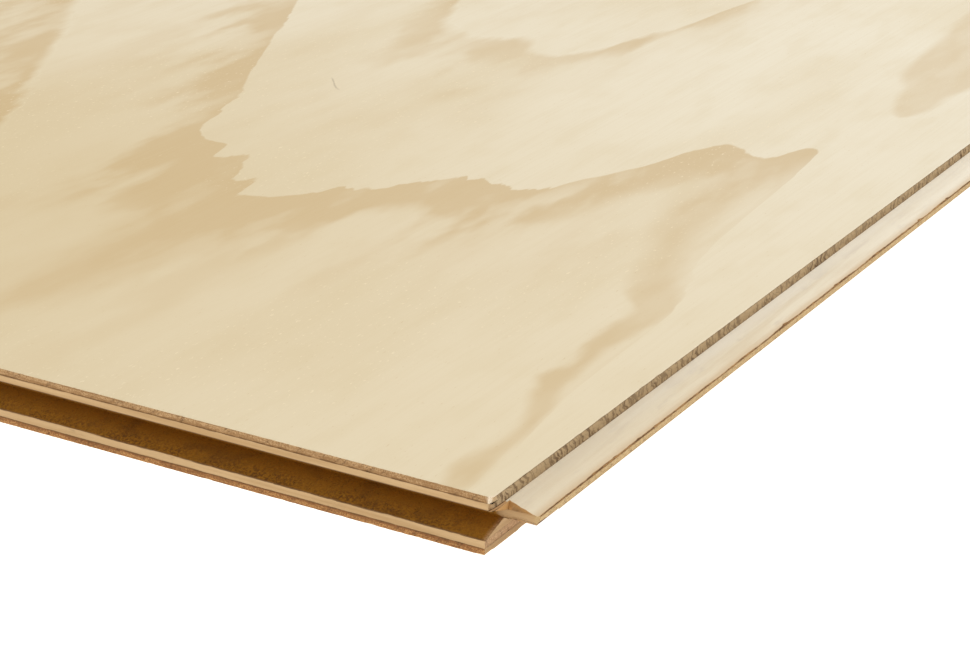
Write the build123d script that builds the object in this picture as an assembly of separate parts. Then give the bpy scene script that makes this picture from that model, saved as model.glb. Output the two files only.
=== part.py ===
from build123d import *
import math
import os

# A tongue-and-groove plywood flooring sheet, in millimetres.
# The sheet lies flat. The origin is the middle of its underside, +X runs along the face grain,
# +Y runs across the sheet from the long tongue to the long groove, and +Z points up.

# Sheet, measured over everything, as the blank is sold
sheet_length = 2440.0
sheet_width = 1220.0

# The seven plies, glued with the grain of each crossing the one below
face_ply = 2.2
crossband_ply = 2.3
long_core_ply = 2.9
centre_ply = 3.2
back_ply = 2.2

# Groove, cut by a tapered cutter in the middle of the edge, leaving a lip above and below
groove_depth = 10.4
groove_lip = 4.4
groove_bottom = 3.0
groove_bottom_radius = 0.5

# Tongue, which takes its taper from the groove
fit_gap = 0.15
tip_clearance = 1.4
nose_height = 1.35
nose_bevel_angle = 45.0
nose_radius = 0.3

# Shoulders beside the tongue: the upper one is undercut, so that the faces close first,
# and the lower one stands back
upper_undercut = 0.7
lower_set_back = 2.3

# Wear at the corner where the long tongue meets the end groove
feather_break = 8.0
split_length = 24.0
crushed_corner = 1.0

cutter_overrun = 5.0

ply_sizes = {
    "back_veneer": back_ply,
    "lower_crossband": crossband_ply,
    "lower_long_core": long_core_ply,
    "centre_veneer": centre_ply,
    "upper_long_core": long_core_ply,
    "upper_crossband": crossband_ply,
    "face_veneer": face_ply,
}
sheet_thickness = sum(ply_sizes.values())
middle = sheet_thickness / 2
groove_mouth = sheet_thickness - 2 * groove_lip
flank_slope = (groove_mouth - groove_bottom) / 2 / groove_depth
tongue_length = groove_depth - tip_clearance


def tongue_half(run):
    """Half the tongue's height at a distance out from the face edge."""
    return groove_mouth / 2 - fit_gap - flank_slope * run


def edge_section(across):
    """The sheet's section across one pair of edges: tongue at -Y, groove at +Y."""
    nose = -across / 2
    face_edge = nose + tongue_length
    groove_edge = across / 2
    nose_top = middle + tongue_half(tongue_length)
    nose_foot = nose_top - nose_height
    nose_underside = middle - tongue_half(tongue_length)
    bevel_slope = math.tan(math.radians(nose_bevel_angle))
    bevel_run = (nose_foot - nose_underside) / (bevel_slope + flank_slope)
    lower_flank_start = (nose + bevel_run, nose_underside - flank_slope * bevel_run)
    nose_corners = [(nose, nose_top), (nose, nose_foot)]
    groove_corners = [
        (groove_edge - groove_depth, middle - groove_bottom / 2),
        (groove_edge - groove_depth, middle + groove_bottom / 2),
    ]
    outline = [
        (face_edge + lower_set_back, 0),
        (groove_edge, 0),
        (groove_edge, middle - groove_mouth / 2),
        *groove_corners,
        (groove_edge, middle + groove_mouth / 2),
        (groove_edge, sheet_thickness),
        (face_edge, sheet_thickness),
        (face_edge + upper_undercut, middle + tongue_half(-upper_undercut)),
        *nose_corners,
        lower_flank_start,
        (face_edge + lower_set_back, middle - tongue_half(-lower_set_back)),
    ]
    section = make_face(Polyline(*outline, close=True))
    section = round_corners(section, nose_corners, min(nose_radius, nose_height / 3))
    return round_corners(section, groove_corners, min(groove_bottom_radius, groove_bottom / 3))


def round_corners(section, corners, radius):
    """Rounds the section's corners that lie at the given points."""
    places = [Vector(y, z, 0) for y, z in corners]
    chosen = [v for v in section.vertices() if any((Vector(v) - place).length < 1e-3 for place in places)]
    return fillet(chosen, radius)


def machining_pass(across, along):
    """A blank with its tongue at -Y and its groove at +Y, longer in X than the finished sheet."""
    section = Plane.YZ * edge_section(across)
    return extrude(section, along / 2 + cutter_overrun, both=True)


def worn_corner():
    """What is missing from the tongue at the -X end, to be cut away."""
    end = -sheet_length / 2
    nose = -sheet_width / 2
    face_edge = nose + tongue_length
    lower_plies = back_ply + crossband_ply + long_core_ply
    low_corner = (Align.MIN, Align.MIN, Align.MIN)
    broken_feather = Pos(end, nose, 0) * Box(feather_break, face_edge - nose, sheet_thickness, align=low_corner)
    split = Pos(end, nose, 0) * Box(
        split_length, tongue_length + lower_set_back, lower_plies, align=low_corner
    )
    return broken_feather + split


def machined_sheet():
    """The whole sheet: a pass along the long edges, then one across the ends."""
    long_edges = machining_pass(sheet_width, sheet_length)
    ends = Rot(Z=90) * machining_pass(sheet_length, sheet_width)
    return (long_edges & ends) - worn_corner()


def ply(sheet, bottom, size):
    """The layer of the sheet between two heights."""
    slab = Box(
        sheet_length + 2 * cutter_overrun,
        sheet_width + 2 * cutter_overrun,
        size,
        align=(Align.CENTER, Align.CENTER, Align.MIN),
    )
    return sheet & Pos(0, 0, bottom) * slab


def crush_corner(face):
    """The face ply with its corner rubbed round over the worn tongue."""
    worn_edge = face.edges().filter_by(Axis.Z).sort_by(lambda edge: edge.center().X + edge.center().Y)[0]
    return fillet(worn_edge, crushed_corner)


os.makedirs("parts", exist_ok=True)
sheet = machined_sheet()
bottom = 0.0
for name, size in ply_sizes.items():
    layer = ply(sheet, bottom, size)
    if name == "face_veneer":
        layer = crush_corner(layer)
    export_step(layer, f"parts/{name}.step")
    bottom += size
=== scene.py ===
import math

import bmesh
import bpy
from mathutils import Matrix, Vector, noise


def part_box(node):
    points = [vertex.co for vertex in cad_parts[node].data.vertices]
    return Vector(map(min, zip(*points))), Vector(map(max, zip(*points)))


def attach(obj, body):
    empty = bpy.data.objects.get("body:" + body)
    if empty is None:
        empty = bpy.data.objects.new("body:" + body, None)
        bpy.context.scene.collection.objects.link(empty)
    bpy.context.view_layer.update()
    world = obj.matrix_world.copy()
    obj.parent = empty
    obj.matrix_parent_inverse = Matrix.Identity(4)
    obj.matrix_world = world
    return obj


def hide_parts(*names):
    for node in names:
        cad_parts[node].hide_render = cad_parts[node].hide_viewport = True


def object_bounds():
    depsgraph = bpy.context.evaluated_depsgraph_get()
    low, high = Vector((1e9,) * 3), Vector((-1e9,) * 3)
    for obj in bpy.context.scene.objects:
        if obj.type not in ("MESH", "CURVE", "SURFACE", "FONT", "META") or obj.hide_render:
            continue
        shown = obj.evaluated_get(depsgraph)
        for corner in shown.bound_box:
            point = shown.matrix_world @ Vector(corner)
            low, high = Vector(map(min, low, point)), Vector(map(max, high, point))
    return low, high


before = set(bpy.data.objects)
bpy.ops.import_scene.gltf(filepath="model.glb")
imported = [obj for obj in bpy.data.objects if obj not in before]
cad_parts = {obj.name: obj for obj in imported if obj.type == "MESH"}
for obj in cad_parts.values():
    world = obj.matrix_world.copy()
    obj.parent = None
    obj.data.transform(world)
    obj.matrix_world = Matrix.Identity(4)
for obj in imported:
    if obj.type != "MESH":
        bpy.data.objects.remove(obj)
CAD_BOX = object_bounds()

bl_info = {
    "name": "Plywood Flooring Sheet",
    "version": (1, 0, 0),
    "blender": (4, 5, 0),
    "location": "View3D > Sidebar > Plywood",
    "description": "Dresses a tongue-and-groove softwood plywood sheet with grain, cut edges and wear",
    "category": "Object",
}

# Where the parts of the edges lie in the CAD model. The undercut and the broken length have a
# little over, so that they take in all the points beside them.
MM = 0.001
TONGUE = 9.0 * MM
TONGUE_ROOT = 13.5 * MM
ROOT_BAND = 0.2 * MM
NOSE_FOOT = 9.2 * MM
UNDERCUT = 0.8 * MM
LIP = 4.4 * MM
BROKEN_OFF = 8.3 * MM
SPLIT = 24 * MM
NEAR_CORNER = Vector((CAD_BOX[0][0], CAD_BOX[0][1], 0.0))
FACE_LENGTH = (CAD_BOX[1][0] - CAD_BOX[0][0] - TONGUE) / MM
FACE_WIDTH = (CAD_BOX[1][1] - CAD_BOX[0][1] - TONGUE) / MM

# A face whose normal stands at least this straight up or down is a ply's broad face
LEVEL = 0.995

# The plies from the top down, with the way their grain runs and the record's material slot
PLIES = {
    "face_veneer": ("along", "face_pine"),
    "upper_crossband": ("across", "crossband_pine"),
    "upper_long_core": ("along", "core_pine"),
    "centre_veneer": ("across", "crossband_pine"),
    "lower_long_core": ("along", "core_pine"),
    "lower_crossband": ("across", "crossband_pine"),
    "back_veneer": ("along", "back_pine"),
}


def length(label, about, default):
    """A size in metres for the panel."""
    return bpy.props.FloatProperty(name=label, description=about, default=default, unit="LENGTH")


def tint(label, about, *rgb):
    """A colour for the panel, with its default from 0 to 255."""
    return bpy.props.FloatVectorProperty(
        name=label, description=about, subtype="COLOR", size=4, min=0, max=1, default=colour(*rgb))


def colour(red, green, blue):
    """An sRGB colour, 0 to 255, as the linear one that a shader takes."""
    def linear(part):
        part /= 255
        return part / 12.92 if part <= 0.04045 else ((part + 0.055) / 1.055) ** 2.4
    return (linear(red), linear(green), linear(blue), 1.0)


class SheetSizes(bpy.types.PropertyGroup):
    """Sizes of the cut edges and of the wear on them, in metres."""

    near_length: length("Fine stretch", "Length of edge beside the worn corner that is cut finely", 0.6)
    fine_step: length("Fine step", "Spacing of the cuts along the fine stretch", 0.0007)
    coarse_step: length("Coarse step", "Spacing of the cuts along the rest", 0.004)
    row_height: length("Row height", "Spacing of the cuts through each ply", 0.00055)
    rim: length("Rim", "Width of the strip beside each edge that is cut up", 0.0125)
    arris: length("Arris", "Distance that the sanded arris reaches in from an edge", 0.0005)
    end_grain_depth: length("End grain depth", "Depth of the roughness on end grain", 0.00014)
    long_grain_depth: length("Long grain depth", "Depth of the roughness on long grain", 0.00006)
    feather_tear: length("Feather tear", "How far the thin edge of the tongue is torn back", 0.0008)
    lip_tear: length("Lip tear", "How deep the edge of the groove's lower lip is torn", 0.0005)
    corner_rub: length("Corner rub", "How far the face's corner is rubbed back at the end groove", 0.0008)


class SheetColours(bpy.types.PropertyGroup):
    """The wood's colours, some of which carry painted light and shade."""

    near: tint("Early wood", "Pale wood of the sanded face, near the worn corner", 226, 210, 177)
    # Painted light: the far colour is paler and whiter than the near one, a painted sheen on the face's
    # far part
    far: tint("Far early wood", "Pale wood of the sanded face, towards the end tongue", 234, 224, 201)
    warm: tint("Warm wood", "Yellower clouds and fibres of the sanded face", 214, 194, 153)
    lifted: tint("Lifted fibres", "Pale fibres lifted from the sanded face", 244, 228, 196)
    late: tint("Late wood", "Flames of the sanded face", 199, 167, 113)
    back: tint("Back", "Pale wood of the back", 221, 200, 160)
    back_late: tint("Back late wood", "Flames of the back", 186, 148, 98)
    planed: tint("Planed", "Top of the tongue", 230, 217, 190)
    planed_dark: tint("Planed streaks", "Streaks on top of the tongue", 221, 204, 173)
    # Painted light: the paler, whiter colour that the top of the tongue takes beside the shoulder,
    # against the shoulder's shadow, and towards the far end
    planed_painted_light: tint("Planed clean", "Cleanest part of the top of the tongue", 243, 235, 217)
    bruise: tint("Bruise", "Grey bruises on top of the tongue", 200, 184, 164)
    # The cut edges are darker than the face partly for their wood and partly as painted shade, for sides
    # that get less light than the face
    cut_pale: tint("Cut pale", "Clean cut along the grain", 200, 166, 120)
    cut_dark: tint("Cut dark", "Streaks in a cut along the grain", 183, 147, 101)
    end_pale: tint("End grain", "Pale part of a cut across the grain", 190, 153, 108)
    end_dark: tint("End grain dark", "Dark part of a cut across the grain", 144, 106, 64)
    low_pale: tint("Lower end grain", "Pale end grain of the lower crossband", 212, 176, 134)
    low_dark: tint("Lower end grain dark", "Dark end grain of the lower crossband", 168, 128, 88)
    back_pale: tint("Back end grain", "Pale end grain of the back", 190, 140, 84)
    back_dark: tint("Back end grain dark", "Dark end grain of the back", 126, 80, 42)
    shoulder: tint("Shoulder", "Shoulder above the tongue", 180, 154, 116)
    scorch: tint("Scorch", "Marks that the cutter burnt in the shoulder", 92, 68, 42)
    nose: tint("Nose", "Blunt nose of the tongue", 202, 174, 124)
    # The groove's colours are partly burnt and burnished wood and partly painted shade of the groove's
    # recess
    burnish_and_shade: tint("Groove", "Lower part of the groove, burnished by the cutter", 143, 95, 10)
    burnish_and_shade_top: tint("Groove top", "Upper part of the groove", 178, 119, 12)
    burnish_pale: tint("Groove fibres", "Loose pale fibres in the groove", 176, 128, 44)
    scorch_deep: tint("Deep scorch", "Torn and burnt wood in the groove", 84, 48, 8)
    torn: tint("Torn fibre", "Torn fibres", 188, 140, 82)
    crushed: tint("Crushed", "Whitened wood at the crushed corner", 240, 222, 194)
    check: tint("Checks", "Shaded splits in end grain", 98, 66, 38)
    glue: tint("Glue", "Glue between the plies", 108, 76, 42)


class Nodes:
    """Short calls that add nodes to one tree."""

    def __init__(self, tree):
        self.tree = tree

    def add(self, kind, **settings):
        node = self.tree.nodes.new(kind)
        for key, value in settings.items():
            setattr(node, key, value)
        return node

    def put(self, socket, value):
        if isinstance(value, bpy.types.NodeSocket):
            self.tree.links.new(value, socket)
        elif value is not None:
            socket.default_value = value

    def math(self, operation, a, b=None, c=None):
        node = self.add("ShaderNodeMath", operation=operation)
        for socket, value in zip(node.inputs, (a, b, c)):
            self.put(socket, value)
        return node.outputs[0]

    def times(self, a, b):
        return self.math("MULTIPLY", a, b)

    def plus(self, a, b):
        return self.math("ADD", a, b)

    def minus(self, a, b):
        return self.math("SUBTRACT", a, b)

    def over(self, a, b):
        return self.math("DIVIDE", a, b)

    def scaled(self, vector, factors):
        node = self.add("ShaderNodeVectorMath", operation="MULTIPLY")
        self.put(node.inputs[0], vector)
        self.put(node.inputs[1], factors)
        return node.outputs[0]

    def noise(self, vector, scale=1.0, detail=2.0, roughness=0.5):
        node = self.add("ShaderNodeTexNoise", noise_dimensions="3D")
        self.put(node.inputs["Vector"], vector)
        self.put(node.inputs["Scale"], scale)
        self.put(node.inputs["Detail"], detail)
        self.put(node.inputs["Roughness"], roughness)
        return node.outputs["Fac"]

    def stretched(self, parts, sizes, **settings):
        """Noise with its own size along each of a place's three parts."""
        vector = self.join(*(self.over(part, size) for part, size in zip(parts, sizes)))
        return self.noise(vector, **settings)

    def ramp(self, value, low, high, to_low=0.0, to_high=1.0):
        """Goes smoothly from one value to another while the given one goes from low to high."""
        node = self.add("ShaderNodeMapRange", interpolation_type="SMOOTHSTEP")
        for socket, number in zip(node.inputs, (value, low, high, to_low, to_high)):
            self.put(socket, number)
        return node.outputs[0]

    def mix(self, factor, a, b):
        node = self.add("ShaderNodeMix", data_type="RGBA")
        self.put(node.inputs["Factor"], factor)
        self.put(node.inputs["A"], a)
        self.put(node.inputs["B"], b)
        return node.outputs["Result"]

    def curve(self, value, points):
        """A smooth curve through the given points, both from 0 to 1."""
        node = self.add("ShaderNodeFloatCurve")
        mapping = node.mapping
        mapping.use_clip = False
        line = mapping.curves[0]
        while len(line.points) < len(points):
            line.points.new(0.5, 0.5)
        for point, (x, y) in zip(line.points, points):
            point.location = (x, y)
            point.handle_type = "AUTO_CLAMPED"
        mapping.update()
        self.put(node.inputs["Value"], value)
        return node.outputs[0]

    def split(self, vector):
        node = self.add("ShaderNodeSeparateXYZ")
        self.put(node.inputs[0], vector)
        return node.outputs

    def join(self, x, y, z):
        node = self.add("ShaderNodeCombineXYZ")
        for socket, value in zip(node.inputs, (x, y, z)):
            self.put(socket, value)
        return node.outputs[0]


def new_group(name, inputs, outputs):
    """A shader node group with named sockets, and short calls for its tree."""
    group = bpy.data.node_groups.new(name, "ShaderNodeTree")
    for label, kind, default in inputs:
        socket = group.interface.new_socket(label, in_out="INPUT", socket_type=kind)
        if default is not None:
            socket.default_value = default
    for label, kind in outputs:
        group.interface.new_socket(label, in_out="OUTPUT", socket_type=kind)
    nodes = Nodes(group)
    start = nodes.add("NodeGroupInput")
    end = nodes.add("NodeGroupOutput")
    return group, nodes, start.outputs, end.inputs


def place(nodes, group, **values):
    """Puts a group into a tree with its own values."""
    node = nodes.add("ShaderNodeGroup", node_tree=group)
    for label, value in values.items():
        nodes.put(node.inputs[label.capitalize()], value)
    return node.outputs


# Growth rings of the face, as flames that open towards +X. Each outline gives, for a distance in
# from the long tongue's edge, how far along the sheet the ring's late wood stops. Millimetres.
FIRST_RING = (
    (0, -60), (8, 2), (16, 70), (19, 150), (32, 194), (38, 248), (42, 300), (49, 330), (60, 308),
    (76, 317), (96, 270), (106, 250), (120, 226), (140, 231), (154, 217), (163, 204), (174, 199),
    (182, 183), (191, 173), (202, 168), (205, 183), (215, 187), (224, 207), (234, 201), (240, 215),
    (250, 216), (264, 237), (270, 260), (289, 301), (313, 352), (332, 394), (380, 480), (480, 640),
)
SECOND_RING = (
    (0, 150), (28, 300), (34, 410), (44, 480), (52, 506), (64, 526), (78, 581), (100, 690), (140, 640),
    (164, 522), (170, 470), (178, 442), (186, 410), (204, 396), (218, 416), (236, 404), (254, 410),
    (268, 430), (276, 455), (300, 520), (340, 590), (480, 690),
)

# Streaks of late wood along the sheet: distance along it, middle in from the long tongue's edge, and
# half width. A negative half width ends a streak. Millimetres.
TAIL = (
    (-6, 13, -2), (3, 13, 5), (13, 15, 6), (22, 15, 5), (33, 14, 4), (42, 14, 4), (50, 16, 4),
    (61, 19, 5), (71, 22, 5), (80, 25, 6), (93, 24, 4), (111, 26, 5), (125, 26, 6), (138, 24, 6),
    (157, 31, 12), (182, 40, 12), (200, 46, 13), (220, 51, 16), (252, 56, 18), (290, 56, 16),
    (306, 52, 9), (325, 49, 3), (333, 48, -6),
)
TRAIL = (
    (-10, 206, -4), (30, 205, 12), (60, 202, 18), (94, 200, 24), (125, 197, 30), (150, 202, 34),
    (175, 216, 34), (200, 234, 22), (218, 248, 8), (232, 252, -6),
)
TIP = (
    (380, 36, -6), (392, 36, 6), (420, 39, 11), (462, 43, 18), (560, 52, 18), (640, 58, 14),
    (699, 62, -6),
)

# What the outlines are divided by for the curve nodes, which run from 0 to 1: the distance in, the
# distance along, counted from a little before the sheet's end, and the half width. Past the fold,
# the rings run back the other way. Millimetres.
RING_SPAN = 480.0
RING_FOLD = 460.0
LEAD = 100.0
REACH = 800.0
WIDEST = 60.0


def flame_group():
    """Growth rings on a peeled face: pale early wood that darkens in clouds, then stops at a line."""
    group, n, given, out = new_group(
        "flame rings",
        [("Vector", "NodeSocketVector", None), ("Ragged", "NodeSocketFloat", 1.0)],
        [("Late wood", "NodeSocketFloat")])
    x, y = n.split(given["Vector"])[:2]

    def drift(along, across, seed, detail=2.0, roughness=0.5):
        at = n.join(n.times(x, 1 / along), n.times(y, 1 / across), seed)
        return n.noise(at, detail=detail, roughness=roughness)

    def ring(outline):
        points = [(inwards / RING_SPAN, (along + LEAD) / REACH) for inwards, along in outline]
        return n.minus(n.times(n.curve(row, points), REACH), LEAD)

    def fading(distance, reach):
        return n.math("POWER", 2.718, n.over(distance, -reach))

    # Rings stray from their outlines far from the corner, and their lines are ragged in places
    far = n.ramp(n.math("MAXIMUM", n.minus(x, 40.0), n.plus(y, 120.0)), 560.0, 900.0)
    shift = n.times(n.times(n.minus(drift(640, 190, 3.0, 1.0), 0.5), 1300.0), far)
    reach = n.times(given["Ragged"], n.ramp(drift(90, 40, 5.0), 0.42, 0.62, 7.0, 32.0))
    jag = n.times(n.minus(drift(26, 8.0, 0.0, 3.0, 0.55), 0.5), reach)
    place_along = n.plus(n.plus(x, jag), shift)
    row = n.over(n.math("PINGPONG", y, RING_FOLD), RING_SPAN)
    first = ring(FIRST_RING)
    second = ring(SECOND_RING)

    # How far a point is from the line where its own ring stops
    gap_before = n.ramp(y, 230.0, 310.0, 380.0, 195.0)
    gap_after = n.math("MAXIMUM", n.minus(second, first), 90.0)
    from_first = n.minus(place_along, first)
    after = n.math("GREATER_THAN", from_first, 0.0)
    before = n.minus(1.0, after)
    ring_gap = n.plus(n.times(gap_after, after), n.times(gap_before, before))
    turns = n.over(from_first, ring_gap)
    to_stop = n.times(n.minus(1.0, n.math("FRACT", turns)), ring_gap)

    # Late wood grows darker towards that line. The first ring's line is sharp, and the others are soft.
    main = n.math("COMPARE", n.math("FLOOR", turns), -1.0, 0.5)
    crisp = n.ramp(to_stop, 0.0, n.math("MULTIPLY_ADD", main, -12.0, 15.0))
    clouds = n.ramp(drift(62, 19, 7.0, 3.0, 0.5), 0.36, 0.62, 0.0, 1.0)
    patches = n.ramp(drift(150, 46, 11.0, 3.0), 0.36, 0.62, 0.0, 1.0)
    edge = n.math("MULTIPLY_ADD", clouds, -46.0, to_stop)
    near = n.times(n.ramp(edge, -20.0, 56.0, 1.0, 0.0), n.math("MULTIPLY_ADD", clouds, 0.14, 0.31))
    line = n.times(fading(to_stop, 9.0), 0.16)
    wide = n.math("MULTIPLY_ADD", n.times(clouds, patches), 0.46, 0.12)
    wide = n.times(fading(to_stop, 125.0), wide)

    # Rings past the first one are fainter, and all of them fade beside the long tongue
    keep = n.math("MAXIMUM", before, n.ramp(y, 90.0, 150.0))
    strength = n.times(keep, n.math("MULTIPLY_ADD", after, -0.38, 1.0))
    strength = n.times(strength, n.ramp(y, 30.0, 62.0, 0.12, 1.0))
    late = n.plus(n.plus(near, line), wide)
    late = n.times(n.times(late, crisp), strength)

    # Streaks stop at the first ring's line, apart from the one beyond it
    def streak(outline, soft, amount):
        at = n.over(n.plus(x, LEAD), REACH)
        middles = [((along + LEAD) / REACH, inwards / RING_SPAN) for along, inwards, half in outline]
        halves = [((along + LEAD) / REACH, half / WIDEST) for along, inwards, half in outline]
        middle = n.curve(at, middles)
        half = n.curve(at, halves)
        aside = n.math("MULTIPLY_ADD", middle, -RING_SPAN, n.math("MULTIPLY_ADD", jag, 0.22, y))
        aside = n.math("MULTIPLY_ADD", half, -WIDEST, n.math("ABSOLUTE", aside))
        shade = n.math("MULTIPLY_ADD", clouds, 0.4 * amount, 0.7 * amount)
        return n.times(n.ramp(aside, soft, 1.5, 1.0, 0.0), shade)

    from_line = n.minus(from_first, n.ramp(x, 60.0, 120.0, 14.0, 0.0))
    tail_stop = n.ramp(from_line, -5.0, 0.0, n.ramp(x, 140.0, 230.0, 1.0, 0.72), 0.0)
    tail = n.times(streak(TAIL, n.ramp(x, 140.0, 200.0, -4.0, -15.0), 0.46), tail_stop)
    trail = n.times(streak(TRAIL, -16.0, 0.36), n.ramp(from_first, -4.0, 0.0, 1.0, 0.0))
    streaks = n.plus(n.plus(tail, streak(TIP, -4.0, 0.36)), trail)
    late = n.plus(late, n.times(streaks, n.minus(1.0, late)))
    n.put(out["Late wood"], n.math("SMOOTH_MIN", late, 0.60, 0.2))
    return group


def fibre_group():
    """Long fine streaks along the grain."""
    group, n, given, out = new_group(
        "fibre streaks",
        [("Vector", "NodeSocketVector", None), ("Width", "NodeSocketFloat", 0.5),
         ("Length", "NodeSocketFloat", 40.0)],
        [("Streak", "NodeSocketFloat"), ("Fleck", "NodeSocketFloat")])
    x, y, z = n.split(given["Vector"])
    width = given["Width"]
    streak = n.stretched((x, y, z), (given["Length"], width, width), detail=3.0, roughness=0.6)
    fleck = n.stretched((x, y, z), (3.0, 0.45, 0.45), detail=1.0)
    n.put(out["Streak"], streak)
    n.put(out["Fleck"], n.ramp(fleck, 0.70, 0.80))
    return group


def end_grain_group():
    """End grain of a peeled veneer: slanting checks, pores and thin dark rings. X runs along the edge."""
    group, n, given, out = new_group(
        "end grain",
        [("Vector", "NodeSocketVector", None), ("Slant", "NodeSocketFloat", 1.0),
         ("Spacing", "NodeSocketFloat", 3.0)],
        [("Check", "NodeSocketFloat"), ("Pore", "NodeSocketFloat"), ("Ring", "NodeSocketFloat")])
    x, y, z = n.split(given["Vector"])
    lean = n.plus(x, n.times(z, given["Slant"]))
    bend = n.stretched((x, y, z), (6.0, 6.0, 2.5))
    lean = n.plus(lean, n.times(n.minus(bend, 0.5), 3.0))
    cracks = n.stretched((lean, y, z), (given["Spacing"], 9.0, 8.0), scale=1.6, detail=3.0, roughness=0.7)
    pores = n.noise(n.scaled(given["Vector"], (2.4, 2.4, 2.4)), detail=2.0, roughness=0.7)
    rings = n.stretched((x, y, z), (30.0, 30.0, 0.7), detail=1.0)
    n.put(out["Check"], n.ramp(cracks, 0.56, 0.68))
    n.put(out["Pore"], pores)
    n.put(out["Ring"], n.ramp(rings, 0.50, 0.62))
    return group


def glue_group():
    """Dark glue close to a ply's upper and lower faces. Heights in millimetres."""
    group, n, given, out = new_group(
        "glue line",
        [("Vector", "NodeSocketVector", None), ("Bottom", "NodeSocketFloat", 0.0),
         ("Top", "NodeSocketFloat", 2.0), ("Width", "NodeSocketFloat", 0.2)],
        [("Glue", "NodeSocketFloat")])
    x, y, z = n.split(given["Vector"])
    patch = n.noise(n.scaled(given["Vector"], (0.22, 0.22, 1.0)), detail=3.0)
    reach = n.times(given["Width"], n.ramp(patch, 0.3, 0.7, 0.3, 2.0))
    above = n.minus(z, given["Bottom"])
    near = n.math("MINIMUM", above, n.minus(given["Top"], z))
    # The glue is worn away at the rubbed corner and below the tongue
    rubbed = n.times(n.ramp(x, 1.5, 4.5, 1.0, 0.0), n.ramp(y, 1.0, 1.8, 1.0, 0.0))
    rubbed = n.times(rubbed, n.ramp(z, 12.0, 13.0))
    below = n.times(n.ramp(y, 2.6, 3.4, 1.0, 0.0), n.ramp(z, 7.0, 7.4, 0.55, 0.0))
    kept = n.math("MULTIPLY_ADD", n.math("MAXIMUM", rubbed, below), -0.85, 1.0)
    n.put(out["Glue"], n.times(kept, n.ramp(n.over(near, reach), 0.4, 1.0, 1.0, 0.0)))
    return group


def groove_shade_and_burn_group():
    """Where a cut face lies inside either groove, and how high up in it. The groove is darkened there,
    partly for burnt and burnished wood and partly as painted shade in the recess.
    """
    group, n, given, out = new_group(
        "groove burn_and_shade", [("Vector", "NodeSocketVector", None)],
        [("Burn_and_shade", "NodeSocketFloat"), ("Height", "NodeSocketFloat"), ("Mouth", "NodeSocketFloat")])
    x, y, z = n.split(given["Vector"])
    end = n.times(n.ramp(x, 0.2, 1.0), n.ramp(x, 11.5, 12.5, 1.0, 0.0))
    # Painted light: the darkening starts a few millimetres in from the end groove's open end, where light
    # reaches into the groove
    lit_open_end = n.ramp(z, 7.4, 7.9, 2.5, 3.8)
    end = n.times(end, n.ramp(n.minus(y, lit_open_end), 0.0, 1.6))
    deep = n.ramp(y, FACE_WIDTH - 12.5, FACE_WIDTH - 11.5)
    side = n.times(deep, n.ramp(y, FACE_WIDTH - 1.0, FACE_WIDTH - 0.2, 1.0, 0.0))
    side = n.times(side, n.ramp(x, FACE_LENGTH - 1.4, FACE_LENGTH - 0.2, 1.0, 0.0))
    inside = n.times(n.ramp(z, 4.1, 4.4), n.ramp(z, 13.5, 13.7, 1.0, 0.0))
    n.put(out["Burn_and_shade"], n.times(n.math("MAXIMUM", end, side), inside))
    n.put(out["Height"], n.ramp(z, 6.0, 12.0))
    patch = n.noise(n.join(n.times(n.plus(x, y), 0.045), 2.0, 0.0), detail=2.0)
    n.put(out["Mouth"], n.times(n.ramp(z, 5.0, 6.6, 1.0, 0.0), n.ramp(patch, 0.38, 0.56, 0.2, 1.0)))
    return group


def shoulder_group():
    """The scorched shoulder above either tongue, and the slanting marks that the cutter left on it."""
    group, n, given, out = new_group(
        "scorched shoulder", [("Vector", "NodeSocketVector", None)],
        [("Band", "NodeSocketFloat"), ("Stroke", "NodeSocketFloat"), ("Rim", "NodeSocketFloat"),
         ("Nose", "NodeSocketFloat")])
    x, y, z = n.split(given["Vector"])
    long_side = n.times(n.ramp(y, -0.5, -0.2), n.ramp(y, 1.6, 2.2, 1.0, 0.0))
    end_inner = n.ramp(x, FACE_LENGTH - 2.2, FACE_LENGTH - 1.6)
    end_side = n.times(end_inner, n.ramp(x, FACE_LENGTH + 0.2, FACE_LENGTH + 0.5, 1.0, 0.0))
    end_nose = n.ramp(x, FACE_LENGTH + 6.5, FACE_LENGTH + 7.5)
    nose = n.math("MAXIMUM", n.ramp(y, -7.5, -6.5, 1.0, 0.0), end_nose)
    n.put(out["Nose"], n.times(nose, n.ramp(z, 10.1, 10.4, 1.0, 0.0)))
    above_root = n.ramp(z, 13.2, 13.5)
    from_corner = n.ramp(x, 0.6, 3.2, 0.2, 1.0)
    band = n.times(n.math("MAXIMUM", long_side, end_side), above_root)
    n.put(out["Band"], n.times(band, from_corner))
    along = n.plus(x, y)
    sway = n.noise(n.join(n.times(along, 0.16), 0.0, n.times(z, 0.3)), detail=1.0)
    lean = n.plus(n.math("MULTIPLY_ADD", z, 0.8, along), n.times(sway, 5.0))
    slanting = n.join(n.times(lean, 0.85), 4.0, n.times(z, 0.16))
    marks = n.noise(slanting, detail=2.5, roughness=0.65)
    grouped = n.noise(n.join(n.times(along, 0.03), 9.0, 0.0), detail=2.0)
    n.put(out["Stroke"], n.times(n.ramp(marks, 0.47, 0.59), n.ramp(grouped, 0.38, 0.58, 0.35, 1.0)))
    # The band is darker towards its bottom and top edges
    rims = n.math("MAXIMUM", n.ramp(z, 13.5, 14.3, 0.75, 0.0), n.ramp(z, 17.2, 17.8, 0.0, 0.55))
    n.put(out["Rim"], n.times(rims, n.ramp(grouped, 0.3, 0.6, 0.5, 1.0)))
    return group


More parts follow.
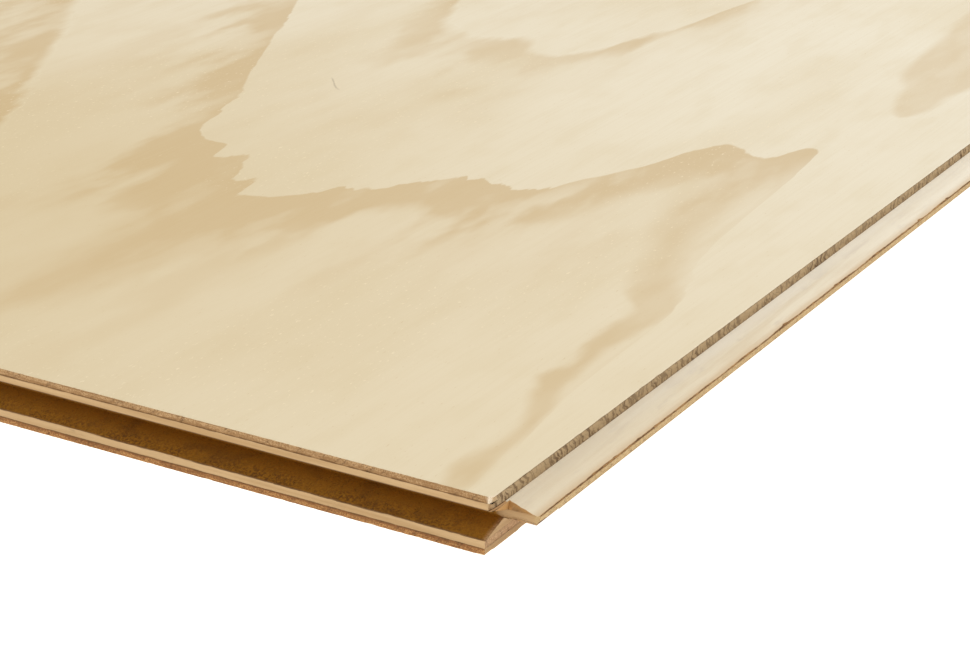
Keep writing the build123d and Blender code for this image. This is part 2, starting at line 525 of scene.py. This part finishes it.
class Finishes:
    """The shared effects, and the materials that are made from them."""

    def __init__(self, colours):
        self.colours = colours
        self.flames = flame_group()
        self.fibres = fibre_group()
        self.ends = end_grain_group()
        self.glue = glue_group()
        self.groove_shade_and_burn = groove_shade_and_burn_group()
        self.shoulders = shoulder_group()

    def start(self, name):
        """A material, and the sheet's place in millimetres from the face's worn corner."""
        material = bpy.data.materials.new(name)
        material.use_nodes = True
        tree = material.node_tree
        n = Nodes(tree)
        shader = tree.nodes["Principled BSDF"]
        shader.inputs["Specular IOR Level"].default_value = 0.25
        coordinates = n.add("ShaderNodeTexCoord")
        sheet = n.add("ShaderNodeMapping", vector_type="POINT")
        n.put(sheet.inputs["Vector"], coordinates.outputs["Object"])
        n.put(sheet.inputs["Location"], [-part / MM for part in NEAR_CORNER + Vector((0, TONGUE, 0))])
        n.put(sheet.inputs["Scale"], (1 / MM,) * 3)
        return material, n, shader, sheet.outputs[0]

    def turned(self, n, sheet, turn):
        """The sheet's place as it is, or with X and Y changed over."""
        if not turn:
            return sheet
        x, y, z = n.split(sheet)
        return n.join(y, x, z)

    def finish(self, n, shader, base, height, roughness, distance):
        bump = n.add("ShaderNodeBump")
        bump.inputs["Strength"].default_value = 1.0
        bump.inputs["Distance"].default_value = distance
        n.put(bump.inputs["Height"], height)
        n.put(shader.inputs["Base Color"], base)
        n.put(shader.inputs["Roughness"], roughness)
        n.put(shader.inputs["Normal"], bump.outputs[0])

    def scorched(self, n, sheet, base):
        """Colours the shoulder above a tongue."""
        tints = self.colours
        shoulder = place(n, self.shoulders, vector=sheet)
        band = n.mix(shoulder["Rim"], tints.shoulder, tints.scorch)
        band = n.mix(n.times(shoulder["Stroke"], 0.85), band, tints.scorch)
        base = n.mix(n.times(shoulder["Band"], 0.92), base, band)
        mottle = n.noise(n.scaled(sheet, (0.9, 0.9, 1.4)), detail=3.0, roughness=0.7)
        nose = n.mix(n.ramp(mottle, 0.46, 0.66, 0.0, 0.7), tints.nose, tints.end_dark)
        return n.mix(n.times(shoulder["Nose"], 0.8), base, nose)

    def worn(self, n, sheet, base, torn):
        """Colours a cut face by the groove's darkening, which is partly burnt wood and partly painted
        shade, and by the damage stored on the mesh.
        """
        tints = self.colours
        groove = place(n, self.groove_shade_and_burn, vector=sheet)
        fuzz = n.noise(n.scaled(sheet, (1.5, 1.5, 0.30)), detail=3.0, roughness=0.7)
        blotch = n.noise(n.scaled(sheet, (0.10, 0.10, 0.3)), detail=2.0)
        specks = n.noise(n.scaled(sheet, (1.2, 1.2, 1.2)), detail=3.0, roughness=0.7)
        # Inside a groove the cut is painted darker: partly burnt and burnished wood, partly painted shade
        # of the recess
        inner = n.mix(groove["Height"], tints.burnish_and_shade, tints.burnish_and_shade_top)
        inner = n.mix(n.ramp(fuzz, 0.52, 0.74, 0.0, 0.6), inner, tints.scorch_deep)
        inner = n.mix(n.ramp(fuzz, 0.46, 0.26, 0.0, 0.35), inner, tints.burnish_pale)
        inner = n.mix(n.ramp(blotch, 0.5, 0.7, 0.0, 0.35), inner, tints.scorch_deep)
        fuzzy = n.times(groove["Mouth"], n.ramp(specks, 0.46, 0.60))
        inner = n.mix(n.times(fuzzy, 0.8), inner, tints.scorch_deep)
        loose = n.times(groove["Mouth"], n.ramp(specks, 0.40, 0.30))
        inner = n.mix(n.times(loose, 0.6), inner, tints.burnish_pale)
        base = n.mix(n.times(groove["Burn_and_shade"], 0.97), base, inner)
        damage = n.add("ShaderNodeAttribute", attribute_name="torn").outputs["Fac"]
        base = n.mix(n.ramp(damage, 0.15, 0.75, 0.0, 0.9), base, torn)
        return self.whitened(n, base)

    def whitened(self, n, base):
        """Whitens the wood where the mesh says that it is crushed."""
        crushed = n.add("ShaderNodeAttribute", attribute_name="crushed").outputs["Fac"]
        return n.mix(n.times(crushed, 0.8), base, self.colours.crushed)

    def edged(self, n, sheet, base, limits, glue, strength, torn):
        """What every cut edge shows over its wood: glue lines, scorch, stain and damage."""
        lines = place(n, self.glue, vector=sheet, bottom=limits[0], top=limits[1], width=glue)
        base = n.mix(n.times(lines["Glue"], strength), base, self.colours.glue)
        return self.worn(n, sheet, self.scorched(n, sheet, base), torn)

    def face(self, name, near, far, late, speckle, ragged=1.0):
        """The sanded face with its flames, painted paler and whiter from the near colour to the far one
        as a painted sheen.
        """
        tints = self.colours
        material, n, shader, sheet = self.start(name)
        x, y = n.split(sheet)[:2]
        flame = place(n, self.flames, vector=sheet, ragged=ragged)
        fibre = place(n, self.fibres, vector=sheet, width=1.1, length=60.0)
        broad = n.noise(n.scaled(sheet, (1 / 230, 1 / 90, 1.0)), detail=3.0)
        soft = n.noise(n.scaled(sheet, (1 / 34, 1 / 11, 1.0)), detail=3.0)
        # Painted light: the face is painted paler and whiter towards the end tongue, a painted sheen
        base = n.mix(n.ramp(n.plus(x, n.times(y, -0.25)), -60.0, 480.0), near, far)
        base = n.mix(n.ramp(broad, 0.40, 0.68, 0.0, 0.35), base, tints.warm)
        inland = n.times(n.ramp(y, 60.0, 270.0), n.ramp(x, 140.0, 330.0, 0.66, 0.12))
        base = n.mix(inland, base, tints.warm)
        base = n.mix(n.ramp(soft, 0.45, 0.70, 0.0, 0.16), base, tints.warm)
        base = n.mix(flame["Late wood"], base, late)
        base = n.mix(n.ramp(fibre["Streak"], 0.40, 0.72, 0.0, 0.13), base, tints.warm)
        base = n.mix(n.times(fibre["Fleck"], speckle), base, tints.late)

        # One short dark mark in two parts, and pale fibres that the sander lifted
        pitch = n.math("MULTIPLY_ADD", soft, 5.0, n.math("MULTIPLY_ADD", x, -0.93, y))
        pitch = n.ramp(n.math("ABSOLUTE", n.plus(pitch, 30.6)), 0.1, 0.9, 0.30, 0.0)
        pitch = n.times(pitch, n.ramp(n.math("PINGPONG", n.minus(x, 296.0), 9.0), 1.0, 5.0))
        pitch = n.times(pitch, n.math("COMPARE", x, 305.0, 9.0))
        base = n.mix(pitch, base, tints.check)
        lifted = n.noise(n.scaled(sheet, (0.34, 0.9, 1.0)), detail=2.0, roughness=0.6)
        lifted = n.times(n.ramp(lifted, 0.62, 0.72, 0.0, 0.55), n.ramp(broad, 0.44, 0.56))
        base = n.mix(lifted, base, tints.lifted)
        base = self.whitened(n, base)
        height = n.plus(n.times(fibre["Streak"], 0.6), n.times(fibre["Fleck"], -0.4))
        rough = n.ramp(flame["Late wood"], 0.0, 1.0, 0.62, 0.52)
        self.finish(n, shader, base, height, rough, 0.00005)
        return material

    def flank(self, name):
        """The tongue's planed flank: pale and smooth, bruised grey here and there, and painted lighter
        beside the shoulder and towards the far end.
        """
        tints = self.colours
        material, n, shader, sheet = self.start(name)
        x, y = n.split(sheet)[:2]
        soft = place(n, self.fibres, vector=sheet, width=2.2, length=38.0)
        fine = place(n, self.fibres, vector=sheet, width=0.5, length=16.0)
        base = n.mix(n.ramp(soft["Streak"], 0.38, 0.66), tints.planed, tints.planed_dark)
        base = n.mix(n.ramp(fine["Streak"], 0.5, 0.75, 0.0, 0.25), base, tints.planed_dark)
        bruise = n.noise(n.scaled(sheet, (0.055, 0.26, 0.26)), detail=3.0, roughness=0.6)
        base = n.mix(n.ramp(bruise, 0.56, 0.70, 0.0, 0.42), base, tints.bruise)
        base = n.mix(n.ramp(x, 30.0, 190.0, 0.55, 0.0), base, tints.planed_dark)
        # Painted light: paler beside the shoulder, which takes back the shoulder's shadow, and paler
        # towards the far end as a sheen
        root_painted_light = n.times(n.ramp(y, -4.5, -0.5, 0.0, 0.75), n.ramp(x, 10.0, 200.0, 0.25, 1.0))
        painted_light = n.math("MAXIMUM", n.ramp(x, 120.0, 360.0, 0.0, 0.55), root_painted_light)
        base = n.mix(painted_light, base, tints.planed_painted_light)
        end_nose = n.ramp(x, FACE_LENGTH + 6.0, FACE_LENGTH + 8.8, 0.0, 0.55)
        near_nose = n.math("MAXIMUM", n.ramp(y, -8.8, -6.0, 0.55, 0.0), end_nose)
        base = n.mix(near_nose, base, tints.cut_pale)
        base = self.worn(n, sheet, base, tints.torn)
        height = n.plus(fine["Streak"], n.times(soft["Streak"], 0.5))
        self.finish(n, shader, base, height, 0.6, 0.00008)
        return material

    def long_grain(self, name, grain, limits, glue, torn):
        """A cut along the grain: smooth, with streaks."""
        tints = self.colours
        material, n, shader, sheet = self.start(name)
        along_cut = self.turned(n, sheet, grain == "across")
        fibre = place(n, self.fibres, vector=along_cut, width=0.45, length=24.0)
        soft = place(n, self.fibres, vector=along_cut, width=2.6, length=70.0)
        base = n.mix(n.ramp(soft["Streak"], 0.36, 0.64), tints.cut_pale, tints.cut_dark)
        base = n.mix(n.ramp(fibre["Streak"], 0.5, 0.75, 0.0, 0.3), base, tints.cut_dark)
        base = n.mix(n.times(fibre["Fleck"], 0.4), base, tints.torn)
        base = self.edged(n, sheet, base, limits, glue, 0.75, torn)
        height = n.plus(fibre["Streak"], n.times(soft["Streak"], 0.5))
        self.finish(n, shader, base, height, 0.72, 0.00012)
        return material

    def end_grain(self, name, grain, limits, glue, torn, pale, dark):
        """A cut across the grain: porous, with slanting checks, and darker towards its glue lines."""
        tints = self.colours
        material, n, shader, sheet = self.start(name)
        along_cut = self.turned(n, sheet, grain == "along")
        cells = place(n, self.ends, vector=along_cut, slant=1.0, spacing=2.2)
        base = n.mix(n.ramp(cells["Pore"], 0.34, 0.64, 0.1, 1.0), dark, pale)
        base = n.mix(n.times(cells["Ring"], 0.5), base, dark)
        soaked = place(n, self.glue, vector=sheet, bottom=limits[0], top=limits[1], width=1.1)
        base = n.mix(n.times(soaked["Glue"], 0.6), base, dark)
        base = n.mix(n.times(cells["Check"], 0.3), base, tints.check)
        base = self.edged(n, sheet, base, limits, glue, 0.85, torn)
        height = n.minus(n.times(cells["Pore"], 0.6), cells["Check"])
        self.finish(n, shader, base, height, 0.85, 0.00018)
        return material

    def glued(self, name):
        """A veneer's broad face with the dark glue left on it, which shows only where an edge is torn."""
        tints = self.colours
        material, n, shader, sheet = self.start(name)
        film = n.noise(n.scaled(sheet, (0.25, 0.5, 1.0)), detail=4.0, roughness=0.65)
        base = n.mix(n.ramp(film, 0.42, 0.62), tints.glue, tints.torn)
        self.finish(n, shader, base, film, 0.7, 0.0001)
        return material


def cut_across(bm, faces, axis, where):
    """Cuts the given faces where they cross a plane square to an axis."""
    edges = {edge for face in faces for edge in face.edges}
    verts = {vert for face in faces for vert in face.verts}
    point = Vector((0, 0, 0))
    point[axis] = where
    normal = Vector((0, 0, 0))
    normal[axis] = 1
    bmesh.ops.bisect_plane(
        bm, geom=list(faces) + list(edges) + list(verts), dist=1e-7, plane_co=point, plane_no=normal)


def spaced(start, stop, step):
    """The places between two ends that divide the stretch into steps of about the given size."""
    count = max(1, round((stop - start) / step))
    return [start + (stop - start) * k / count for k in range(1, count)]


def cut_up(bm, name, sizes):
    """Cuts a ply's edges into fine columns and rows, and leaves its broad faces whole."""
    low, high = CAD_BOX
    ply_low, ply_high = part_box(name)
    near_x = low[0] + sizes.near_length
    near_y = low[1] + sizes.near_length
    block_x = low[0] + 30 * MM
    shortest = 25 * MM
    hair = 1e-5
    for z in spaced(ply_low[2], ply_high[2], sizes.row_height):
        cut_across(bm, bm.faces[:], 2, z)
    cuts_x = (low[0] + sizes.arris, low[0] + sizes.rim, block_x, near_x, high[0] - sizes.rim,
              high[0] - TONGUE - sizes.arris)
    cuts_y = (low[1] + sizes.rim, low[1] + TONGUE + sizes.arris, near_y, high[1] - sizes.rim,
              high[1] - sizes.arris)
    for axis, places in enumerate((cuts_x, cuts_y)):
        for where in places:
            cut_across(bm, bm.faces[:], axis, where)
    for axis, across, near in ((0, 1, near_x), (1, 0, near_y)):
        rungs = {}
        for edge in bm.edges:
            a, b = edge.verts[0].co, edge.verts[1].co
            span = abs(a[axis] - b[axis])
            if span < shortest or edge.calc_length() - span > hair:
                continue
            middle = (a + b) / 2
            near_side = middle[across] < low[across] + sizes.rim + hair
            far_side = middle[across] > high[across] - sizes.rim - hair
            if not near_side and not far_side:
                continue
            fine = near_side and middle[axis] < near
            step = sizes.fine_step if fine else sizes.coarse_step
            rungs.setdefault(max(1, round(span / step) - 1), []).append(edge)
        for cuts, edges in rungs.items():
            bmesh.ops.subdivide_edges(bm, edges=edges, cuts=cuts)
    for axis, start, stop in ((0, low[0], block_x), (1, low[1], low[1] + sizes.rim)):
        for where in spaced(start, stop, sizes.fine_step):
            corner = [face for face in bm.faces if in_block(face.calc_center_median(), block_x, sizes)]
            cut_across(bm, corner, axis, where)


def in_block(point, block_x, sizes):
    """Whether a point is in the part of the long tongue's rim that ends at the worn corner."""
    return point.x < block_x and point.y < CAD_BOX[0][1] + sizes.rim


def held(value):
    """The value, or 0 or 1 where it goes past them."""
    return max(0.0, min(1.0, value))


def rough(point, stretch, seed):
    """Smooth noise from 0 to 1 at a point, with a size in metres along each axis."""
    place_at = Vector((point.x / stretch[0], point.y / stretch[1], point.z / stretch[2] + seed))
    return 0.5 + 0.5 * noise.noise(place_at)


def outward(vert):
    """The level direction that a cut edge faces at a vertex, or None on a broad face."""
    out = Vector((0, 0, 0))
    for face in vert.link_faces:
        if abs(face.normal.z) < LEVEL:
            out += face.normal
    out.z = 0
    return out.normalized() if out.length >= 1e-6 else None


def cut_depth(point, out, grain, seed, sizes):
    """How deep a cut edge is roughened: fuzz and slits on end grain, soft waves on long grain."""
    depth = sizes.long_grain_depth * rough(point, (45 * MM, 45 * MM, 3 * MM), seed + 5)
    runs_along_x = abs(out.y) > abs(out.x)
    if runs_along_x != (grain == "across"):
        return depth + sizes.long_grain_depth * rough(point, (26 * MM, 26 * MM, 0.6 * MM), seed)
    fuzz = rough(point, (0.9 * MM, 0.9 * MM, 0.7 * MM), seed)
    slant = Vector((point.x + point.y + 1.1 * point.z, 0, point.z))
    slit = rough(slant, (1.1 * MM, 1, 6 * MM), seed + 3)
    return depth + sizes.end_grain_depth * (fuzz + 2.2 * max(0.0, slit - 0.62) / 0.38)


def wear(bm, name, grain, sizes):
    """Roughens the cut edges inwards, rounds the sanded arrises, and tears and crushes what is worn."""
    low = Vector(CAD_BOX[0])
    ply_low, ply_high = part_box(name)
    seed = 10.0 * list(PLIES).index(name)
    sanded = {"face_veneer": (ply_high[2], -1), "back_veneer": (ply_low[2], 1)}
    outer, inwards = sanded.get(name, (None, 0))
    torn = bm.verts.layers.float.new("torn")
    crushed = bm.verts.layers.float.new("crushed")
    bm.normal_update()
    moves = {}
    for vert in bm.verts:
        p = vert.co
        if name == "face_veneer":
            vert[crushed] = crushed_corner(p)
        out = outward(vert)
        if out is None:
            continue
        depth = cut_depth(p, out, grain, seed, sizes)
        beside_break = p.x < low.x + BROKEN_OFF
        push = Vector((0, 0, 0))
        if name in ("face_veneer", "upper_crossband"):
            push.y = rubbed_corner(p, sizes)
        if name == "upper_crossband":
            push += rounded_corner(p)
            if beside_break and p.z < TONGUE_ROOT + ROOT_BAND:
                vert[torn] = 0.9
        elif name == "centre_veneer":
            push += worn_nose(p, ply_low, out, seed)
        elif name == "upper_long_core":
            tear = torn_feather(p, sizes, seed)
            push = broken_end(p, ply_low, seed)
            depth += tear
            at_break = beside_break and p.y > low.y + TONGUE - 1.0 * MM
            vert[torn] = 0.9 if at_break else min(1.0, 0.35 * tear / MM + push.length / MM)
        elif name == "lower_crossband":
            tear = torn_lip(p, sizes)
            depth += tear
            push.z = -1.2 * tear
            vert[torn] = min(1.0, 0.9 * tear / MM)
        if at_root(p):
            depth = 0.0
        if outer is not None and abs(p.z - outer) < 1e-6:
            chip = max(0.0, rough(p, (5 * MM, 5 * MM, MM), seed + 7) - 0.60)
            depth += 0.10 * MM * rough(p, (1.4 * MM, 1.4 * MM, MM), seed + 8) + 1.2 * MM * chip
            push.z = inwards * (0.16 * MM + 0.5 * MM * chip)
        moves[vert] = push - out * depth
    for vert, move in moves.items():
        vert.co += move


def rubbed_corner(point, sizes):
    """How far the shoulder is rubbed back where it meets the end groove."""
    low = CAD_BOX[0]
    if point.y > low[1] + TONGUE + 1.2 * MM:
        return 0.0
    return sizes.corner_rub * math.exp((low[0] - point.x) / (2.2 * MM))


def rounded_corner(point):
    """Takes the crossband's corner back to the round that the face's corner has."""
    radius = 1.0 * MM
    away = Vector((CAD_BOX[0][0] + radius - point.x, CAD_BOX[0][1] + TONGUE + radius - point.y, 0))
    if min(away.x, away.y) <= 0 or away.length <= radius:
        return Vector((0, 0, 0))
    return away * (1 - radius / away.length)


def over_tongue(point):
    """Whether a point is above or beside a tongue, counting what its shoulder is undercut by."""
    low, high = CAD_BOX
    return point.y < low[1] + TONGUE + UNDERCUT or point.x > high[0] - TONGUE - UNDERCUT


def at_root(point):
    """Whether a point is where a tongue's top meets its shoulder, which two plies share."""
    return over_tongue(point) and abs(point.z - TONGUE_ROOT) < ROOT_BAND


def worn_nose(point, ply_low, out, seed):
    """The rubbed foot of the tongue's nose, and its torn underside beside the worn corner."""
    low, high = CAD_BOX
    reach = 2.4 * MM
    beyond = max(low[1] + reach - point.y, point.x - high[0] + reach) / reach
    foot = max(0.0, 1 - abs(point.z - NOSE_FOOT) / (1.3 * MM))
    rub = 0.45 * MM * held(beyond) * foot
    push = Vector((0, 0, rub)) - out * 0.5 * rub
    near_end = held((low[0] + SPLIT - point.x) / (SPLIT / 2))
    if point.y < low[1] + TONGUE and near_end > 0:
        under = max(0.0, 1 - (point.z - ply_low[2]) / (1.8 * MM))
        push.z += under * near_end * MM * (0.3 + 0.3 * rough(point, (2 * MM, 2 * MM, 1), seed + 15))
    return push


def crushed_corner(point):
    """How much the wood is whitened at the face's worn corner, from 0 to 1."""
    along = point.x - CAD_BOX[0][0]
    across = point.y - CAD_BOX[0][1] - TONGUE
    below = CAD_BOX[1][2] - point.z
    ragged = rough(point, (1.2 * MM, 1.2 * MM, 1.2 * MM), 4.0)
    corner = 1.7 - math.hypot(along, 0.7 * across) / (1.3 * MM) - 0.9 * ragged
    arris = 1.5 - along / (7 * MM) - abs(across) / (0.9 * MM) - below / (0.9 * MM) - 0.9 * ragged
    return held(max(corner, arris))


def torn_feather(point, sizes, seed):
    """How far the thin lip of veneer at the tongue's nose is torn back."""
    low, high = CAD_BOX
    reach = 2.2 * MM
    beyond = max(low[1] + reach - point.y, point.x - high[0] + reach)
    thin = held(beyond / (1.4 * MM))
    if thin == 0:
        return 0.0
    long_tear = rough(point, (16 * MM, 16 * MM, 1), seed + 11)
    short_tear = rough(point, (2.2 * MM, 2.2 * MM, 1), seed + 12)
    chip = max(0.0, rough(point, (7 * MM, 7 * MM, 1), seed + 14) - 0.66)
    return sizes.feather_tear * thin * (max(0.0, 1.1 * long_tear - 0.35) + 0.3 * short_tear + 5.0 * chip)


def broken_end(point, ply_low, seed):
    """The slope and the splinters where the tongue's top broke off at the worn corner."""
    low = CAD_BOX[0]
    run = low[1] + TONGUE - point.y
    if point.x > low[0] + 9 * MM or run < -1.0 * MM:
        return Vector((0, 0, 0))
    height = max(0.0, (point.z - ply_low[2]) / (2.6 * MM))
    outwards = max(0.0, run / TONGUE)
    splinter = rough(point, (1, 1.5 * MM, 2 * MM), seed + 21)
    return Vector((MM * height * (0.3 + 0.9 * splinter + 2.2 * outwards * outwards), 0, 0))


def torn_lip(point, sizes):
    """How deep the groove's lower lip is torn, in patches along its edge below the glue line."""
    low, high = CAD_BOX
    reach = 1.2 * MM
    inside = point.x > low[0] + reach and point.y < high[1] - reach
    if inside or point.z > LIP + 0.05 * MM:
        return 0.0
    near = max(0.0, 1.0 - abs(point.z - LIP) / (1.5 * MM))
    patch = max(0.0, rough(point, (24 * MM, 24 * MM, 1), 31.0) - 0.46)
    patch *= 2.0 * rough(point, (3.2 * MM, 3.2 * MM, 1), 35.0)
    nibble = rough(point, (1.6 * MM, 1.6 * MM, 1.0 * MM), 33.0)
    return sizes.lip_tear * near * min(1.0, 3.0 * patch) * (0.5 + nibble)


def material_of(face):
    """Which of a ply's materials a face takes: broad face, cut facing X, cut facing Y, or tongue."""
    normal = face.normal
    if abs(normal.z) > LEVEL:
        return 0
    if normal.z > 0.9 and over_tongue(face.calc_center_median()):
        return 3
    return 1 if abs(normal.x) > abs(normal.y) else 2


def dress_ply(name, grain, materials, sizes):
    """A ply with worn, finely cut edges, in place of the plain solid."""
    bm = bmesh.new()
    bm.from_mesh(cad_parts[name].data)
    bmesh.ops.remove_doubles(bm, verts=bm.verts, dist=2e-6)
    bmesh.ops.dissolve_limit(bm, angle_limit=math.radians(0.6), verts=bm.verts, edges=bm.edges)
    cut_up(bm, name, sizes)
    bm.normal_update()
    for face in bm.faces:
        face.material_index = material_of(face)
    wear(bm, name, grain, sizes)
    bmesh.ops.triangulate(bm, faces=[face for face in bm.faces if len(face.verts) > 4])
    mesh = bpy.data.meshes.new(name + "_dressed")
    bm.to_mesh(mesh)
    bm.free()
    for material in materials:
        mesh.materials.append(material)
    piece = bpy.data.objects.new(name + "_dressed", mesh)
    bpy.context.scene.collection.objects.link(piece)
    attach(piece, "root")
    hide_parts(name)
    return piece


class MakePlies(bpy.types.Operator):
    """Dresses the seven plies with their grain, glue lines and worn edges"""

    bl_idname = "plywood.make_plies"
    bl_label = "Dress the plies"

    def execute(self, context):
        sizes = context.scene.sheet_sizes
        tints = context.scene.sheet_colours
        made = Finishes(tints)
        flat = {
            "face_veneer": made.face("sanded_face", tints.near, tints.far, tints.late, 0.4),
            "back_veneer": made.face("sanded_back", tints.back, tints.back, tints.back_late, 0.9, 1.6),
        }
        glue_widths = {"back_veneer": 0.34, "centre_veneer": 0.18, "face_veneer": 0.30}
        end_tints = {
            "back_veneer": (tints.back_pale, tints.back_dark),
            "lower_crossband": (tints.low_pale, tints.low_dark),
        }
        hidden = made.glued("glued_face")
        for name, (grain, slot) in PLIES.items():
            low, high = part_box(name)
            # A limit far outside the ply leaves out the glue line on that side
            bottom = -10.0 if name in ("back_veneer", "upper_crossband") else low[2] / MM
            top = 30.0 if name == "face_veneer" else high[2] / MM
            torn = tints.torn if name == "upper_long_core" else tints.scorch_deep
            edge = (grain, (bottom, top), glue_widths.get(name, 0.14), torn)
            long_cut = made.long_grain(f"long_cut_{name}", *edge)
            end_cut = made.end_grain(
                f"end_cut_{name}", *edge, *end_tints.get(name, (tints.end_pale, tints.end_dark)))
            facing_x, facing_y = (end_cut, long_cut) if grain == "along" else (long_cut, end_cut)
            planed = made.flank(f"planed_{name}")
            piece = dress_ply(name, grain, (flat.get(name, hidden), facing_x, facing_y, planed), sizes)
        return {"FINISHED"}


class MakeStage(bpy.types.Operator):
    """Lays a pale floor and sets the soft studio light and the camera"""

    bl_idname = "plywood.make_stage"
    bl_label = "Floor, light and camera"

    def execute(self, context):
        self.floor()
        self.light(context)
        self.camera(context)
        return {"FINISHED"}

    def floor(self):
        # It lies a hair below the sheet, and glows to the plain white of the photo's ground
        bm = bmesh.new()
        bmesh.ops.create_circle(bm, cap_ends=True, segments=64, radius=14.0)
        bmesh.ops.translate(bm, verts=bm.verts, vec=(0, 0, -0.0002))
        mesh = bpy.data.meshes.new("floor")
        bm.to_mesh(mesh)
        bm.free()
        material = bpy.data.materials.new("pale_floor")
        material.use_nodes = True
        shader = material.node_tree.nodes["Principled BSDF"]
        shader.inputs["Base Color"].default_value = (0.45, 0.45, 0.45, 1)
        shader.inputs["Roughness"].default_value = 0.9
        shader.inputs["Emission Color"].default_value = (1, 1, 1, 1)
        shader.inputs["Emission Strength"].default_value = 1.0
        mesh.materials.append(material)
        floor = bpy.data.objects.new("floor", mesh)
        bpy.context.scene.collection.objects.link(floor)

    def light(self, context):
        world = bpy.data.worlds.new("studio")
        world.use_nodes = True
        background = world.node_tree.nodes["Background"]
        background.inputs["Color"].default_value = (1.0, 1.0, 1.0, 1)
        background.inputs["Strength"].default_value = 0.57
        context.scene.world = world
        context.scene.view_settings.view_transform = "Standard"
        for name, place_at, size, power in (
            ("key", (0.9, -1.6, 2.6), 1.8, 55.0),
            ("fill", (-3.2, 1.2, 2.2), 2.4, 37.0),
        ):
            lamp = bpy.data.lights.new(name, "AREA")
            lamp.size = size
            lamp.energy = power
            holder = bpy.data.objects.new(name, lamp)
            target = Vector((-0.9, -0.4, 0.0))
            aim = (target - Vector(place_at)).to_track_quat("-Z", "Y")
            holder.matrix_world = Matrix.Translation(place_at) @ aim.to_matrix().to_4x4()
            context.scene.collection.objects.link(holder)

    def camera(self, context):
        # Where the photo was taken from, solved from the lines of the two near edges
        forward = Vector((0.80595718, 0.46218979, -0.36988326))
        right = Vector((0.50167067, -0.86497145, 0.01228525))
        from_corner = Vector((-514.383, -291.812, 302.972)) * MM
        up = right.cross(forward)
        data = bpy.data.cameras.new("camera")
        data.sensor_width = 36.0
        data.lens = 91.80
        data.clip_start = 0.01
        holder = bpy.data.objects.new("camera", data)
        turn = Matrix((right, up, -forward)).transposed().to_4x4()
        stand = NEAR_CORNER + Vector((0, TONGUE, 0)) + from_corner
        holder.matrix_world = Matrix.Translation(stand) @ turn
        context.scene.collection.objects.link(holder)
        context.scene.camera = holder


class PlywoodPanel(bpy.types.Panel):
    """The steps that dress the sheet"""

    bl_idname = "VIEW3D_PT_plywood"
    bl_label = "Plywood sheet"
    bl_space_type = "VIEW_3D"
    bl_region_type = "UI"
    bl_category = "Plywood"

    def draw(self, context):
        for operator in (MakePlies, MakeStage):
            self.layout.operator(operator.bl_idname)
        for group in (context.scene.sheet_sizes, context.scene.sheet_colours):
            for name in group.bl_rna.properties.keys():
                if name not in ("rna_type", "name"):
                    self.layout.prop(group, name)


CLASSES = (SheetSizes, SheetColours, MakePlies, MakeStage, PlywoodPanel)


def register():
    for cls in CLASSES:
        bpy.utils.register_class(cls)
    bpy.types.Scene.sheet_sizes = bpy.props.PointerProperty(type=SheetSizes)
    bpy.types.Scene.sheet_colours = bpy.props.PointerProperty(type=SheetColours)


def unregister():
    del bpy.types.Scene.sheet_colours
    del bpy.types.Scene.sheet_sizes
    for cls in reversed(CLASSES):
        bpy.utils.unregister_class(cls)


def main():
    register()
    bpy.ops.plywood.make_plies()
    bpy.ops.plywood.make_stage()
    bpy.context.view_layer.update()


if __name__ == "__main__":
    main()
